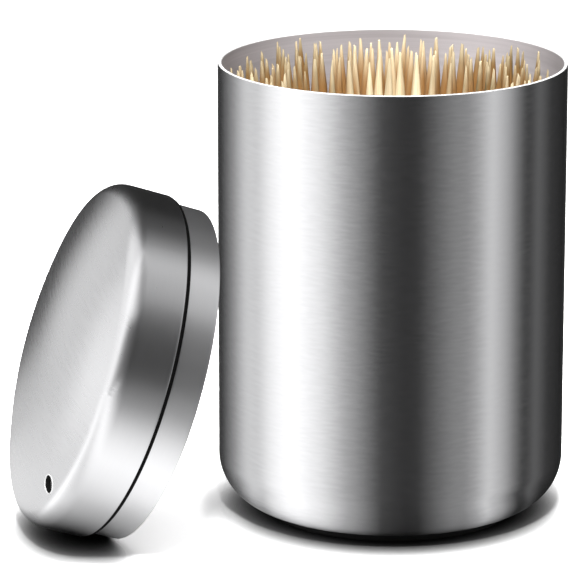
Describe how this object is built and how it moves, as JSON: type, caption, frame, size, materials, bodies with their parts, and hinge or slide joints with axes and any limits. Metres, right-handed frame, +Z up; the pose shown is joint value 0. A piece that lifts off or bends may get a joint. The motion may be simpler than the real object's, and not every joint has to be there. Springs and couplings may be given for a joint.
{
  "type": "toothpick dispenser",
  "caption": "Round brushed steel toothpick dispenser: a straight cup of pointed toothpicks, with its domed plug lid and dispensing hole taken off and standing beside it.",
  "frame": {"origin": "middle of the underside of the cup's pad, on the table", "axes": "+Z up along the cup's axis, +Y away from the viewer of the picture, +X to the viewer's right; the lid stands at -X"},
  "size_m": [0.0836, 0.0653, 0.0688],
  "materials": {
    "cup_steel": "brushed round the cup, polished rim",
    "cap_steel": "brushed across the dome and round the wall",
    "sleeve_steel": "brushed round the sleeve",
    "seal": "matt black",
    "pad": "matt black",
    "toothpick": "plain bamboo, sanded"
  },
  "bodies": {
    "cup": {"base_pad": "pad", "cup_shell": "cup_steel", "toothpicks_inner_01": "toothpick", "toothpicks_inner_02": "toothpick", "toothpicks_inner_03": "toothpick", "toothpicks_inner_04": "toothpick", "toothpicks_inner_05": "toothpick", "toothpicks_inner_06": "toothpick", "toothpicks_inner_07": "toothpick", "toothpicks_inner_08": "toothpick", "toothpicks_outer_01": "toothpick", "toothpicks_outer_02": "toothpick", "toothpicks_outer_03": "toothpick", "toothpicks_outer_04": "toothpick", "toothpicks_outer_05": "toothpick", "toothpicks_outer_06": "toothpick", "toothpicks_outer_07": "toothpick", "toothpicks_outer_08": "toothpick", "toothpicks_outer_09": "toothpick", "toothpicks_outer_10": "toothpick"},
    "lid": {"lid_cap": "cap_steel", "lid_sleeve": "sleeve_steel", "lid_seal": "seal"},
    "loose_pick_1": {"toothpick_loose_1": "toothpick"},
    "loose_pick_2": {"toothpick_loose_2": "toothpick"},
    "loose_pick_3": {"toothpick_loose_3": "toothpick"},
    "loose_pick_4": {"toothpick_loose_4": "toothpick"}
  },
  "joints": [
    {"name": "lid_lift", "type": "slide", "parent": "cup", "child": "lid", "axis": [0, 0, 1], "range_m": [0, 0.09]},
    {"name": "draw_out_1", "type": "slide", "parent": "cup", "child": "loose_pick_1", "axis": [-0.0005, 0.0202, 0.9998], "range_m": [0, 0.07]},
    {"name": "draw_out_2", "type": "slide", "parent": "cup", "child": "loose_pick_2", "axis": [0.004, 0.0238, 0.9997], "range_m": [0, 0.07]},
    {"name": "draw_out_3", "type": "slide", "parent": "cup", "child": "loose_pick_3", "axis": [-0.0077, 0.0215, 0.9997], "range_m": [0, 0.07]},
    {"name": "draw_out_4", "type": "slide", "parent": "cup", "child": "loose_pick_4", "axis": [0.01, 0.0192, 0.9998], "range_m": [0, 0.07]}
  ]
}
